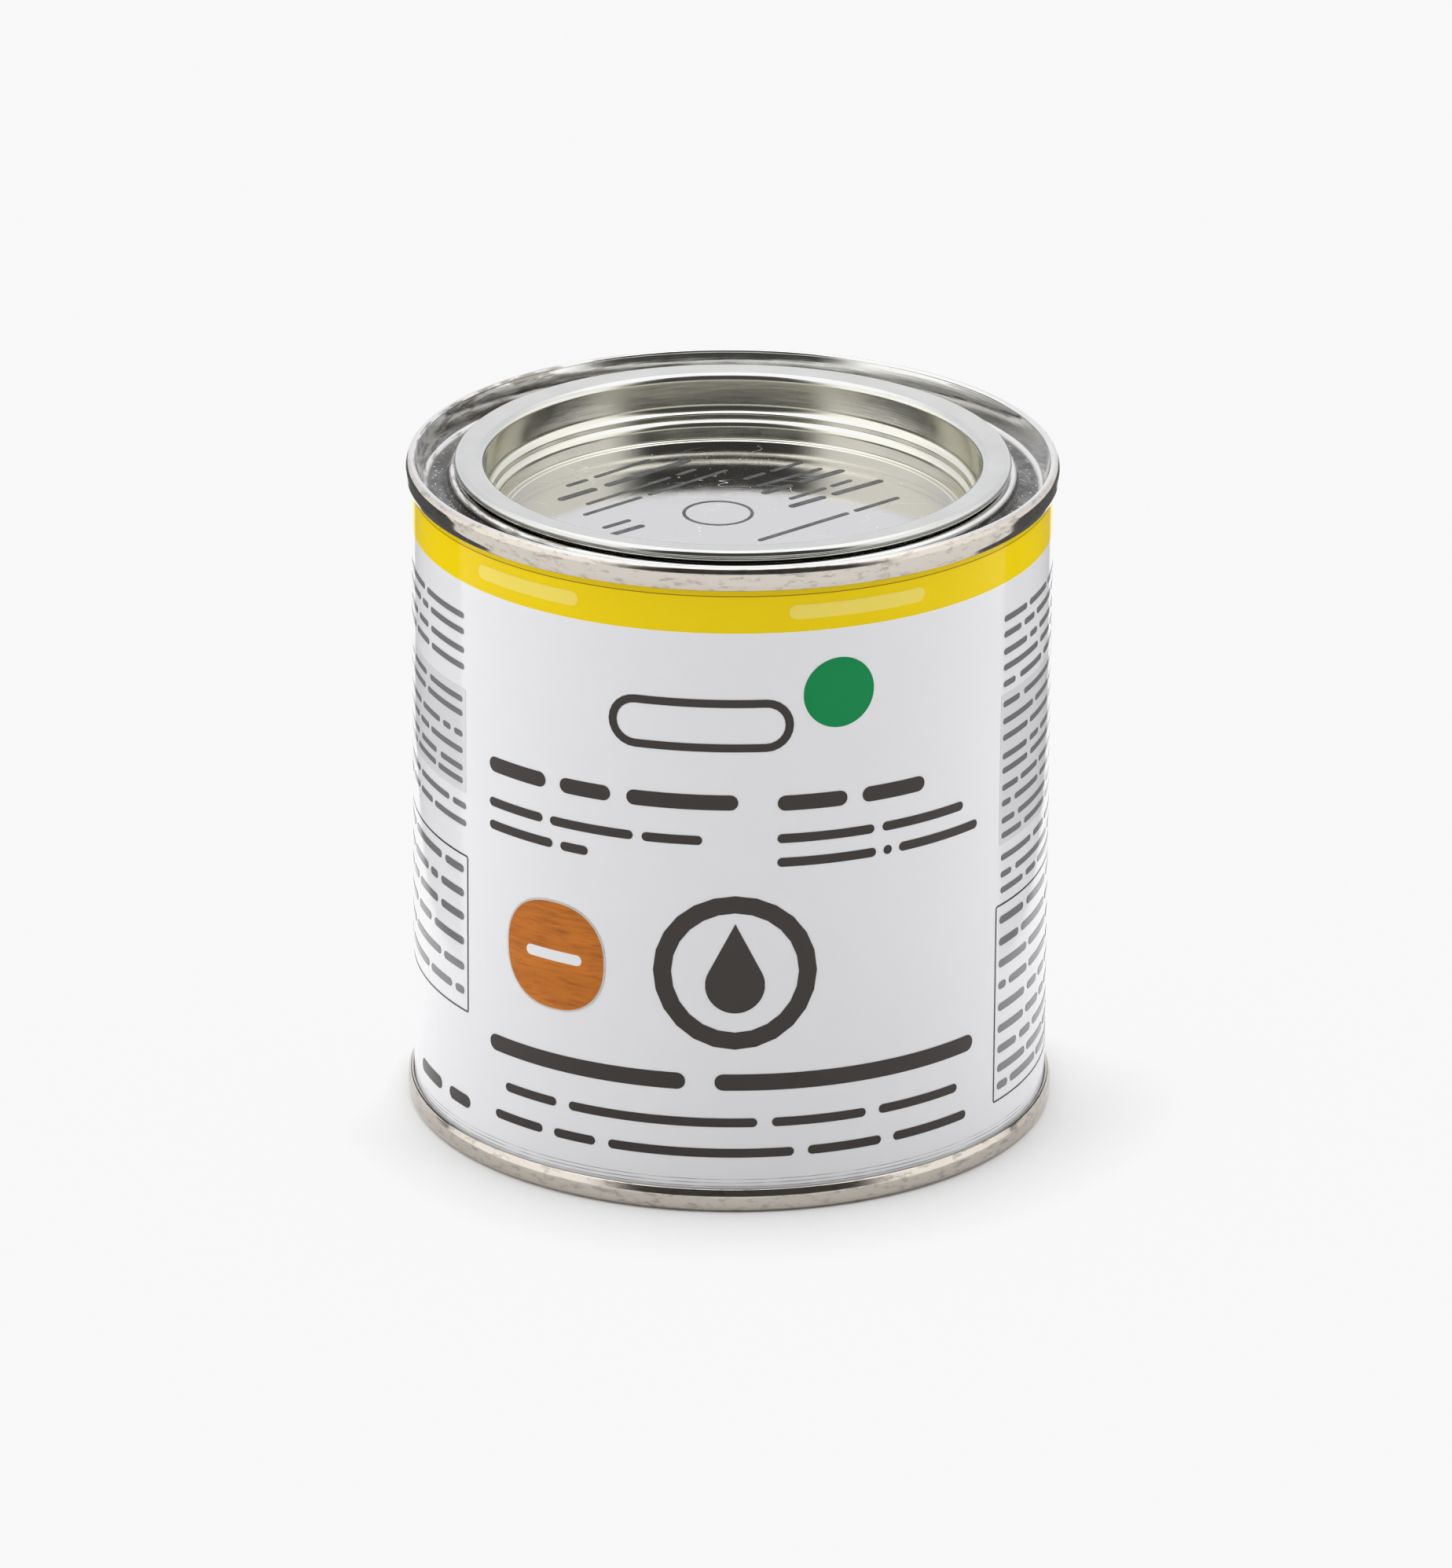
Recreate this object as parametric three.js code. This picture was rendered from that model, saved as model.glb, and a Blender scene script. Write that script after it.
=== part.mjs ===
// A 375 ml lever-lid tin: a seamed tinplate can with a friction lid, filled with oil-wax finish.
// Millimetres, +Z up, origin at the middle of the base, and the front of the print faces -Y.
// Every sheet-metal piece is a line through the middle of its sheet, given a thickness and turned
// about Z, so that the layers of the two double seams interlock as they do in the real tin.
import * as THREE from "three";

// Whole tin
const HEIGHT = 89.7;
const SEGMENTS = 48;
const ARC_STEP = 45; // degrees between the points of a small bend

// Sheet metal
const END_SHEET = 0.22;
const BODY_SHEET = 0.2;
const LID_SHEET = 0.25;

// Double seams: five layers, from the outer wall of the end in to its chuck wall
const SEAM_RADIUS = 43.0;
const SEAM_HEIGHT = 3.2;
const LAYER_PITCH = 0.27;
const layer = (n) => SEAM_RADIUS - END_SHEET / 2 - n * LAYER_PITCH;
const OUTER_WALL = layer(0);
const BODY_HOOK = layer(1);
const COVER_HOOK = layer(2);
const BODY_WALL = layer(3);
const CHUCK_WALL = layer(4);
const SHOULDER_HEIGHT = 1.1; // from the seam's crest down to where its outer wall is upright
const CREST_OUT = 42.2; // the flat ring of the crest, which the tin stands and stacks on
const CREST_CORNER = 0.14;
const COVER_HOOK_TIP = 1.5; // depths below the crest
const BODY_HOOK_TIP = 2.65;

// Groove and mouth of the top ring
const GROOVE_FLOOR = HEIGHT - 3.85;
const GROOVE_BEND = 0.9;
const RISE_BEND = 1.2;
const RISE_RADIUS = 37.3;
const SHOULDER_TOP = HEIGHT - 1.75;
const SHOULDER_BEND = 0.55;
const MOUTH_RADIUS = 32.95;
const MOUTH_BEAD = 0.95;
const MOUTH_BEAD_TOP = HEIGHT - 0.6;
const MOUTH_DEPTH = 5.6;

// Lever lid
const LID_TOP = HEIGHT - 0.05;
const LID_RADIUS = 36.6;
const LID_CURL = 0.78;
const LID_TURN = 1.0; // bend from the rim into the recess
const LID_TURN_DROP = 0.2;
const RECESS_RADIUS = 32.6;
const RECESS_DRAFT = 0.25;
const LEDGE_DEPTH = 5.9;
const LEDGE_RADIUS = 31.6;
const PANEL_DEPTH = 8.9;
const PANEL_BEND = 0.5;

// Bottom end
const BASE_DEPTH = 3.5;
const BASE_BEND = 0.9;
const BASE_BEAD_RADIUS = 34;
const BASE_BEAD_RISE = 0.5;
const BASE_BEAD_RUN = 1.2;

// Contents, sealing compound and sticker
const FILL_VOLUME = 375000; // cubic mm
const WALL_CLEARANCE = 0.1;
const COMPOUND_WIDTH = 0.3;
const COMPOUND_DEPTH = 0.42;
const COMPOUND_HEIGHT = 0.22;
const STICKER_SIZE = 15.4;
const STICKER_AZIMUTH = -33;
const STICKER_HEIGHT = 33.2;
const STICKER_THICKNESS = 0.1;
const STICKER_COLUMNS = 12;
const STICKER_SQUARENESS = 2.3; // exponent of the superellipse, 2 for a circle

const surface = (name, color, roughness, metalness = 0) =>
  new THREE.MeshStandardMaterial({ name, color, roughness, metalness });
const MATERIALS = {
  endTin: surface("end tinplate", 0xc9c7c1, 0.25, 1),
  lidTin: surface("lid tinplate", 0xcfcdc8, 0.3, 1),
  print: surface("white print", 0xe4e4e6, 0.3),
  compound: surface("sealing compound", 0x4a4c50, 0.8),
  sticker: surface("wood-tone sticker", 0xb8651e, 0.45),
  finish: surface("oil-wax finish", 0x9c5420, 0.15),
};

const radians = THREE.MathUtils.degToRad;
const point = (r, z) => new THREE.Vector2(r, z);

// Points of an elliptical arc about (r, z), from one angle to another, in degrees.
function arc(r, z, radius, from, to, radiusZ = radius) {
  const steps = Math.max(1, Math.round(Math.abs(to - from) / ARC_STEP));
  return Array.from({ length: steps + 1 }, (_, i) => {
    const angle = radians(from + ((to - from) * i) / steps);
    return point(r + radius * Math.cos(angle), z + radiusZ * Math.sin(angle));
  });
}

// The middle line moved sideways by a distance, with mitred corners.
function offset(line, distance) {
  const normal = (a, b) => b.clone().sub(a).normalize().rotateAround(point(0, 0), Math.PI / 2);
  return line.map((p, i) => {
    const before = i > 0 ? normal(line[i - 1], p) : normal(p, line[i + 1]);
    const after = i < line.length - 1 ? normal(p, line[i + 1]) : before;
    const mitre = before.clone().add(after).normalize();
    return p.clone().addScaledVector(mitre, distance / mitre.dot(before));
  });
}

// A profile turned about Z, wound so that its faces look out.
function turned(profile) {
  const points = THREE.ShapeUtils.area(profile) < 0 ? [...profile].reverse() : [...profile];
  if (points[0].x > 0) points.push(points[0].clone());
  return new THREE.LatheGeometry(points, SEGMENTS).rotateX(Math.PI / 2);
}

// Sheet metal of one thickness along a middle line, whose last point may be on the axis.
function sheet(line, thickness) {
  const oneSide = offset(line, thickness / 2);
  const otherSide = offset(line, -thickness / 2);
  return turned([...oneSide.reverse(), ...otherSide]);
}

function box(rLow, rHigh, zLow, zHigh) {
  return [point(rLow, zLow), point(rHigh, zLow), point(rHigh, zHigh), point(rLow, zHigh)];
}

// Points given as radius and depth below a seam's crest, placed at the tin's top or base.
const atTop = (line) => line.map((p) => point(p.x, HEIGHT - p.y));
const atBase = (line) => line.map((p) => point(p.x, p.y));

// The end's layers of a double seam, from the tip of its hook to the top of its chuck wall.
function seamCover() {
  const turn = SEAM_HEIGHT - END_SHEET / 2 - LAYER_PITCH;
  const crest = END_SHEET / 2;
  const crestIn = CHUCK_WALL + CREST_CORNER;
  return [
    point(COVER_HOOK, COVER_HOOK_TIP),
    ...arc(BODY_HOOK, turn, LAYER_PITCH, 180, 0),
    ...arc(CREST_OUT, SHOULDER_HEIGHT, OUTER_WALL - CREST_OUT, 0, -90, SHOULDER_HEIGHT - crest),
    point(crestIn, crest),
    point(CHUCK_WALL, crest + CREST_CORNER),
  ];
}

// The body's layers of a double seam, from the tip of its hook to the body wall.
function seamBody() {
  return [
    point(BODY_HOOK, BODY_HOOK_TIP),
    ...arc(COVER_HOOK, SHOULDER_HEIGHT, LAYER_PITCH, 0, -180),
  ];
}

function canBody() {
  return sheet([...atBase(seamBody()), ...atTop(seamBody()).reverse()], BODY_SHEET);
}

function topRing() {
  const half = END_SHEET / 2;
  const floor = GROOVE_FLOOR + GROOVE_BEND;
  const chuckIn = CHUCK_WALL - half;
  const rise = GROOVE_FLOOR + RISE_BEND;
  const shoulder = SHOULDER_TOP - SHOULDER_BEND;
  const bead = MOUTH_BEAD - half;
  const beadRadius = MOUTH_RADIUS + MOUTH_BEAD;
  const beadMiddle = MOUTH_BEAD_TOP - MOUTH_BEAD;
  return sheet([
    ...atTop(seamCover()),
    ...arc(chuckIn - GROOVE_BEND, floor, GROOVE_BEND + half, 0, -90),
    ...arc(RISE_RADIUS + RISE_BEND, rise, RISE_BEND + half, -90, -180),
    ...arc(RISE_RADIUS - SHOULDER_BEND, shoulder, SHOULDER_BEND - half, 0, 90),
    point(beadRadius + bead, SHOULDER_TOP - half),
    ...arc(beadRadius, beadMiddle, bead, 0, 180),
    point(MOUTH_RADIUS + half, HEIGHT - MOUTH_DEPTH),
  ], END_SHEET);
}

function leverLid() {
  const half = LID_SHEET / 2;
  const curl = LID_RADIUS - LID_CURL;
  const turn = RECESS_RADIUS + LID_TURN;
  const turnMiddle = LID_TOP - LID_TURN_DROP - LID_TURN;
  const ledge = LID_TOP - LEDGE_DEPTH - half;
  const panel = LID_TOP - PANEL_DEPTH;
  return sheet([
    ...arc(curl, LID_TOP - LID_CURL, LID_CURL - half, -180, 90),
    ...arc(turn, turnMiddle, LID_TURN + half - LID_SHEET, 90, 180),
    point(RECESS_RADIUS - RECESS_DRAFT + half, ledge),
    point(LEDGE_RADIUS + half, ledge),
    ...arc(LEDGE_RADIUS - PANEL_BEND, panel + PANEL_BEND, PANEL_BEND + half, 0, -90),
    point(0, panel - half),
  ], LID_SHEET);
}

function bottomEnd() {
  const half = END_SHEET / 2;
  const chuckIn = CHUCK_WALL - half;
  const panel = BASE_DEPTH + half;
  return sheet([
    ...atBase(seamCover()),
    ...arc(chuckIn - BASE_BEND, BASE_DEPTH - BASE_BEND, BASE_BEND + half, 0, 90),
    point(BASE_BEAD_RADIUS + BASE_BEAD_RUN, panel),
    point(BASE_BEAD_RADIUS, panel + BASE_BEAD_RISE),
    point(0, panel + BASE_BEAD_RISE),
  ], END_SHEET);
}

// The ring of lining compound between the crest of the end and the fold of the body.
function sealingCompound(place) {
  const reach = COMPOUND_WIDTH / 2;
  const bottom = COMPOUND_DEPTH + COMPOUND_HEIGHT;
  return turned(place(box(CREST_OUT - reach, CREST_OUT + reach, COMPOUND_DEPTH, bottom)));
}

function waxContents() {
  const radius = BODY_WALL - BODY_SHEET / 2 - WALL_CLEARANCE;
  const bottom = BASE_DEPTH + END_SHEET + BASE_BEAD_RISE + WALL_CLEARANCE;
  const depth = FILL_VOLUME / (Math.PI * radius ** 2);
  return turned(box(0, radius, bottom, bottom + depth));
}

// A thin superellipse wrapped on the body, built from upright columns across its width.
function toneSticker() {
  const inner = BODY_WALL + BODY_SHEET / 2 + WALL_CLEARANCE / 5;
  const radii = [inner, inner + STICKER_THICKNESS];
  const reach = STICKER_SIZE / 2;
  const vertices = [];
  for (let i = 0; i <= STICKER_COLUMNS; i++) {
    const across = -0.995 * Math.cos((Math.PI * i) / STICKER_COLUMNS);
    const up = reach * (1 - Math.abs(across) ** STICKER_SQUARENESS) ** (1 / STICKER_SQUARENESS);
    const azimuth = radians(STICKER_AZIMUTH) + (across * reach) / inner;
    for (const [r, z] of [[radii[0], -up], [radii[1], -up], [radii[1], up], [radii[0], up]]) {
      vertices.push(r * Math.sin(azimuth), -r * Math.cos(azimuth), STICKER_HEIGHT + z);
    }
  }
  const faces = [];
  const quad = (a, b, c, d) => faces.push(a, b, c, a, c, d);
  for (let i = 0; i < STICKER_COLUMNS; i++) {
    for (let side = 0; side < 4; side++) {
      const next = (side + 1) % 4;
      quad(4 * i + side, 4 * i + 4 + side, 4 * i + 4 + next, 4 * i + next);
    }
  }
  const last = 4 * STICKER_COLUMNS;
  quad(0, 1, 2, 3);
  quad(last + 3, last + 2, last + 1, last);
  return new THREE.BufferGeometry()
    .setAttribute("position", new THREE.Float32BufferAttribute(vertices, 3))
    .setIndex(faces);
}

function piece(name, geometry, material) {
  const mesh = new THREE.Mesh(geometry, material);
  mesh.name = name;
  return mesh;
}

const tin = new THREE.Group();
tin.add(
  piece("can_body", canBody(), MATERIALS.print),
  piece("top_ring", topRing(), MATERIALS.endTin),
  piece("bottom_end", bottomEnd(), MATERIALS.endTin),
  piece("lever_lid", leverLid(), MATERIALS.lidTin),
  piece("top_seam_compound", sealingCompound(atTop), MATERIALS.compound),
  piece("bottom_seam_compound", sealingCompound(atBase), MATERIALS.compound),
  piece("tone_sticker", toneSticker(), MATERIALS.sticker),
  piece("wax_contents", waxContents(), MATERIALS.finish),
);

export default tin;
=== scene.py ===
"""A lever-lid tin of wax finish: turned sheet metal, printed body, wood-tone sticker.

Lengths are millimetres up to the moment that a mesh is made, and metres in Blender. Azimuth is
measured from the front of the print, -Y, towards +X, in degrees.
"""

import math
import random

import bpy
from mathutils import Matrix, Vector


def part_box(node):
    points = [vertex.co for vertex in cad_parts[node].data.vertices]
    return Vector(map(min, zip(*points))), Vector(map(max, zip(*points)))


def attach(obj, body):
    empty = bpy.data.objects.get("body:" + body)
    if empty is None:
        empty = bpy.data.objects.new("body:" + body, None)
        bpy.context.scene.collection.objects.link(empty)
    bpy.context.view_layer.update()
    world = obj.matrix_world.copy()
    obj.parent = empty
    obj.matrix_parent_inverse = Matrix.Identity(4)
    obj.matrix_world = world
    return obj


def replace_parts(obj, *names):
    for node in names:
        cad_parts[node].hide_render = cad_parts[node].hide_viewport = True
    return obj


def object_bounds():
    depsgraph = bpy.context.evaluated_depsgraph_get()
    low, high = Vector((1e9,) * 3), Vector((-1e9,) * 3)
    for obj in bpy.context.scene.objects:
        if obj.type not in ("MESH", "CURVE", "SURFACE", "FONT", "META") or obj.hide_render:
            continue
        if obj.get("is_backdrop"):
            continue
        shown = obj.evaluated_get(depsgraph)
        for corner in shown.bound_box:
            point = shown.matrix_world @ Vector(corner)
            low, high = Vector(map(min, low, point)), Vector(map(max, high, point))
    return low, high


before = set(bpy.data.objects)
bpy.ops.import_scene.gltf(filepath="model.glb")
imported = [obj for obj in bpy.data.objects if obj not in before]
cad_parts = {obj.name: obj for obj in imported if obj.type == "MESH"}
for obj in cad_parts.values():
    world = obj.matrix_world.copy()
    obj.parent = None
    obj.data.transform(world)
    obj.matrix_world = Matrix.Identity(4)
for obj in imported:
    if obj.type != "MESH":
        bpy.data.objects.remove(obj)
CAD_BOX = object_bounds()
MM = 0.001


def reach(node):
    """A CAD node's outer radius, lowest and highest points, in millimetres."""
    low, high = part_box(node)
    return high[0] / MM, low[2] / MM, high[2] / MM


# ------------------------------------------------------------------ sizes

SEAM_RADIUS, _, HEIGHT = reach("top_ring")
LID_RADIUS, _, LID_TOP = reach("lever_lid")
FILL_RADIUS, FILL_BOTTOM, FILL_TOP = reach("wax_contents")

ARC_STEP = 9  # degrees between the points of a bend
COLUMNS = 256  # round the tin
LONG_STRETCH = 0.5  # a straight stretch that gets supporting points
SUPPORT = 0.06  # their distance from its ends
CREASE = 30  # degrees, from which an edge is shaded sharp
END_SHEET = 0.22
BODY_SHEET = 0.2
LID_SHEET = 0.25

# Double seams, as layers from the outer wall in, and depths from the crest
SEAM_HEIGHT = 3.2
LAYER_PITCH = 0.27
OUTER_WALL, BODY_HOOK, COVER_HOOK, BODY_WALL, CHUCK_WALL = (
    SEAM_RADIUS - END_SHEET / 2 - n * LAYER_PITCH for n in range(5)
)
SHOULDER_HEIGHT = 1.1
CREST_OUT = 42.2
CREST_CORNER = 0.25
COVER_HOOK_TIP = 1.5
BODY_HOOK_TIP = 2.1
HOOK_ROUND = 0.15
HOOK_LEAN = 20  # degrees, of the cover wall toward its hook
HOOK_FOOT = 0.8
HOOK_MIDDLE = 42.47
COMPOUND = (0.3, 0.42, 0.22)  # width, depth and height of the ring inside a seam

# Top ring
GROOVE_DEPTH = 3.85
GROOVE_BEND = 0.9
CHUCK_LEAN = 11  # degrees
GROOVE_RADIUS = CHUCK_WALL - END_SHEET / 2 - math.tan(math.radians(CHUCK_LEAN)) * GROOVE_DEPTH
RISE_BEND = 1.2
RISE_RADIUS = 37.3
SHOULDER_DEPTH = 1.75
SHOULDER_BEND = 0.55
MOUTH_RADIUS = 32.95
MOUTH_BEAD = 0.95
MOUTH_BEAD_DEPTH = 0.6
MOUTH_DEPTH = 5.6

# Lever lid
LID_CURL = 0.78
LID_TURN = 1.0
LID_TURN_DROP = 0.2
RECESS_RADIUS = 32.6
RECESS_DRAFT = 3  # degrees
# The recess from its wall inwards: a straight run, the middle radius of the bend after it, and
# the tilt that the bend ends at, in degrees
RECESS_FORM = (
    (3.2, 1.42, 57),
    (0, 0.16, 3),
    (0.55, 0.28, 70),
    (0, 0.85, 4),
    (1.36, 0.4, 90),
    (0.1, 0.3, 128),
    (0, 0.17, 44),
    (0, 0.25, 90),
)

# Bottom end
BASE_DEPTH = 3.5
BASE_BEND = 0.9
BASE_BEAD_RADIUS = 34
BASE_BEAD_RISE = 0.5
BASE_BEAD_RUN = 1.2

# Printed wall
WALL_RADIUS = BODY_WALL + BODY_SHEET / 2
BAND_BOTTOM = 80.6  # the yellow band's lower edge
SIDE_SEAM = 180  # azimuth of the welded side seam
SEAM_MARGIN = 3.2  # half of the unprinted strip over the side seam
LAP_WIDTH = 1.1
LAP_RISE = 0.12
LAP_END = 5  # distance of the lap's ends from the tin's
LAP_EDGE = 0.15

# Contents
MENISCUS_RISE = 0.6
MENISCUS_RUN = 3.0
MENISCUS_STEPS = 8

# ------------------------------------------------------------------ profiles


def arc(r, z, radius, start, end, radius_z=None):
    """Points of an elliptical arc about (r, z), angles in degrees."""
    radius_z = radius if radius_z is None else radius_z
    steps = max(1, round(abs(end - start) / ARC_STEP))
    turns = [math.radians(start + (end - start) * i / steps) for i in range(steps + 1)]
    return [(r + radius * math.cos(a), z + radius_z * math.sin(a)) for a in turns]


def offset(line, distance):
    """A line moved sideways by a distance, with mitred corners."""
    points = [Vector(p) for p in line]
    normals = []
    for a, b in zip(points, points[1:]):
        along = (b - a).normalized()
        normals.append(Vector((-along.y, along.x)))
    moved = []
    for i, p in enumerate(points):
        before = normals[max(i - 1, 0)]
        after = normals[min(i, len(normals) - 1)]
        mitre = (before + after).normalized()
        moved.append(tuple(p + mitre * distance / mitre.dot(before)))
    return moved


def sheet(line, thickness):
    """The outline of sheet metal along a middle line, counter-clockwise in (r, z)."""
    outline = offset(line, thickness / 2)[::-1] + offset(line, -thickness / 2)
    turn = sum(a[0] * b[1] - b[0] * a[1] for a, b in zip(outline, outline[1:] + outline[:1]))
    return outline if turn > 0 else outline[::-1]


def supported(outline, closed):
    """The outline with extra points beside the ends of its long stretches, so that shading
    normals stay true on them."""
    ends = outline + outline[:1] if closed else outline
    result = []
    for a, b in zip(ends, ends[1:]):
        result.append(a)
        length = math.dist(a, b)
        if length > LONG_STRETCH:
            for t in (SUPPORT / length, 0.5, 1 - SUPPORT / length):
                result.append((a[0] + (b[0] - a[0]) * t, a[1] + (b[1] - a[1]) * t))
    return result if closed else result + [outline[-1]]


def at_top(line):
    return [(r, HEIGHT - depth) for r, depth in line]


def seam_cover():
    """The end's layers of a double seam, from the tip of its hook to its chuck wall. The outer
    wall leans in below the hook's bend: foot, run and drop place the bend that starts the lean."""
    top = SEAM_HEIGHT - END_SHEET / 2
    inner = HOOK_MIDDLE - COVER_HOOK
    crest = END_SHEET / 2
    shoulder = OUTER_WALL - CREST_OUT
    lean = math.radians(HOOK_LEAN)
    foot = OUTER_WALL - HOOK_FOOT
    run = foot - HOOK_MIDDLE + (HOOK_FOOT - HOOK_ROUND) * math.cos(lean)
    drop = HOOK_ROUND + (HOOK_FOOT - HOOK_ROUND) * math.sin(lean) + run / math.tan(lean)
    return [
        (COVER_HOOK, COVER_HOOK_TIP),
        *arc(HOOK_MIDDLE, top - inner, inner, 180, 90),
        *arc(HOOK_MIDDLE, top - HOOK_ROUND, HOOK_ROUND, 90, HOOK_LEAN)[1:],
        *arc(foot, top - drop, HOOK_FOOT, HOOK_LEAN, 0),
        *arc(CREST_OUT, SHOULDER_HEIGHT, shoulder, 0, -90, SHOULDER_HEIGHT - crest),
        *arc(CHUCK_WALL + CREST_CORNER, crest + CREST_CORNER, CREST_CORNER, -90, -180),
    ]


def seam_body():
    """The body's layers of a double seam, from the tip of its hook to the wall."""
    return [(BODY_HOOK, BODY_HOOK_TIP), *arc(COVER_HOOK, SHOULDER_HEIGHT, LAYER_PITCH, 0, -180)]


def wall_outline():
    top = at_top(seam_body())[::-1]
    return sheet([*seam_body(), (BODY_WALL, BAND_BOTTOM), *top], BODY_SHEET)


def ring_outline():
    half = END_SHEET / 2
    floor = HEIGHT - GROOVE_DEPTH
    groove_middle = (GROOVE_RADIUS - GROOVE_BEND, floor + GROOVE_BEND)
    shoulder = HEIGHT - SHOULDER_DEPTH
    bead = MOUTH_BEAD - half
    bead_radius = MOUTH_RADIUS + MOUTH_BEAD
    bead_middle = HEIGHT - MOUTH_BEAD_DEPTH - MOUTH_BEAD
    rise = RISE_BEND + half
    return sheet([
        *at_top(seam_cover()),
        *arc(*groove_middle, GROOVE_BEND + half, -CHUCK_LEAN, -90),
        *arc(RISE_RADIUS + RISE_BEND, floor + RISE_BEND, rise, -90, -180),
        *arc(RISE_RADIUS - SHOULDER_BEND, shoulder - SHOULDER_BEND, SHOULDER_BEND - half, 0, 90),
        (bead_radius + bead, shoulder - half),
        *arc(bead_radius, bead_middle, bead, 0, 180),
        (MOUTH_RADIUS + half, HEIGHT - MOUTH_DEPTH),
    ], END_SHEET)


def recess_line():
    """The middle line of the lid's recess: its wall, ledge, second wall and panel bead. The tilt
    is 0 on an upright wall that faces the axis and 90 on a flat that faces up."""
    r = RECESS_RADIUS + LID_SHEET / 2
    z = LID_TOP - LID_TURN_DROP - LID_TURN
    tilt = RECESS_DRAFT
    points = []
    for run, radius, tilt_after in RECESS_FORM:
        r -= run * math.sin(math.radians(tilt))
        z -= run * math.cos(math.radians(tilt))
        side = 1 if tilt_after > tilt else -1
        centre_r = r - side * radius * math.cos(math.radians(tilt))
        centre_z = z + side * radius * math.sin(math.radians(tilt))
        first, last = (-tilt, -tilt_after) if side > 0 else (180 - tilt, 180 - tilt_after)
        points += arc(centre_r, centre_z, radius, first, last)[0 if run else 1:]
        r, z = points[-1]
        tilt = tilt_after
    return points


PANEL_TOP = recess_line()[-1][1] + LID_SHEET / 2


def lid_outline():
    half = LID_SHEET / 2
    turn = LID_TURN + half - LID_SHEET
    turn_middle = LID_TOP - LID_TURN_DROP - LID_TURN
    return sheet([
        *arc(LID_RADIUS - LID_CURL, LID_TOP - LID_CURL, LID_CURL - half, -180, 90),
        *arc(RECESS_RADIUS + LID_TURN, turn_middle, turn, 90, 180),
        *recess_line(),
        (0, PANEL_TOP - half),
    ], LID_SHEET)


def base_outline():
    half = END_SHEET / 2
    panel = BASE_DEPTH + half
    return sheet([
        *seam_cover(),
        *arc(CHUCK_WALL - half - BASE_BEND, BASE_DEPTH - BASE_BEND, BASE_BEND + half, 0, 90),
        (BASE_BEAD_RADIUS + BASE_BEAD_RUN, panel),
        (BASE_BEAD_RADIUS, panel + BASE_BEAD_RISE),
        (0, panel + BASE_BEAD_RISE),
    ], END_SHEET)


def compound_outline():
    width, depth, height = COMPOUND
    low, high = CREST_OUT - width / 2, CREST_OUT + width / 2
    return [(low, depth), (high, depth), (high, depth + height), (low, depth + height)]


def finish_outline():
    """The finish in the tin, with its surface drawn up a little at the wall."""
    meniscus = []
    for i in range(MENISCUS_STEPS + 1):
        share = i / MENISCUS_STEPS
        r = FILL_RADIUS - MENISCUS_RUN * share ** 2
        meniscus.append((r, FILL_TOP + MENISCUS_RISE * (1 - share) ** 3))
    return [(0, FILL_BOTTOM), (FILL_RADIUS, FILL_BOTTOM), *meniscus, (0, FILL_TOP)]


# ------------------------------------------------------------------ meshes


def even_azimuths(extra=()):
    return sorted({*(360 * i / COLUMNS - 180 for i in range(COLUMNS)), *extra})


def new_piece(name, mesh, materials, body, slot):
    for material in materials:
        mesh.materials.append(material)
    mesh.shade_smooth()
    mesh.set_sharp_from_angle(angle=math.radians(CREASE))
    piece = bpy.data.objects.new(name, mesh)
    bpy.context.collection.objects.link(piece)
    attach(piece, body)
    return piece


def turned(name, outline, materials, body, slot, azimuths=None, zone=None, swell=None):
    """An outline turned about Z. zone(azimuth, r, z) gives a face's material number, and
    swell(azimuth, r, z) adds to the radius."""
    azimuths = azimuths or even_azimuths()
    closed = outline[0][0] > 0
    outline = supported(outline, closed)
    count = len(outline)
    segments = count if closed else count - 1
    run = [0]
    for j in range(segments):
        run.append(run[-1] + math.dist(outline[j], outline[(j + 1) % count]) * MM)
    vertices, grid = [], []
    for r, z in outline:
        if r == 0:
            grid.append([len(vertices)] * len(azimuths))
            vertices.append((0, 0, z * MM))
            continue
        grid.append(list(range(len(vertices), len(vertices) + len(azimuths))))
        for azimuth in azimuths:
            out = r + (swell(azimuth, r, z) if swell else 0)
            turn = math.radians(azimuth)
            vertices.append((out * math.sin(turn) * MM, -out * math.cos(turn) * MM, z * MM))
    faces, coordinates, zones = [], [], []
    for j in range(segments):
        low, high = grid[j], grid[(j + 1) % count]
        middle = [(a + b) / 2 for a, b in zip(outline[j], outline[(j + 1) % count])]
        for i, azimuth in enumerate(azimuths):
            k = (i + 1) % len(azimuths)
            following = azimuths[k] + (360 if k == 0 else 0)
            corners = [(low[i], azimuth, run[j]), (low[k], following, run[j]),
                       (high[k], following, run[j + 1]), (high[i], azimuth, run[j + 1])]
            kept = [c for n, c in enumerate(corners) if c[0] != corners[n - 1][0]]
            faces.append([c[0] for c in kept])
            coordinates += [(math.radians(c[1]) * SEAM_RADIUS * MM, c[2]) for c in kept]
            zones.append(zone((azimuth + following) / 2, *middle) if zone else 0)
    mesh = bpy.data.meshes.new(name)
    mesh.from_pydata(vertices, [], faces)
    mesh.polygons.foreach_set("material_index", zones)
    layer = mesh.uv_layers.new(name="turned")
    for loop, place in zip(layer.data, coordinates):
        loop.uv = place
    return new_piece(name, mesh, materials, body, slot)


# ------------------------------------------------------------------ node helpers


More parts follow.
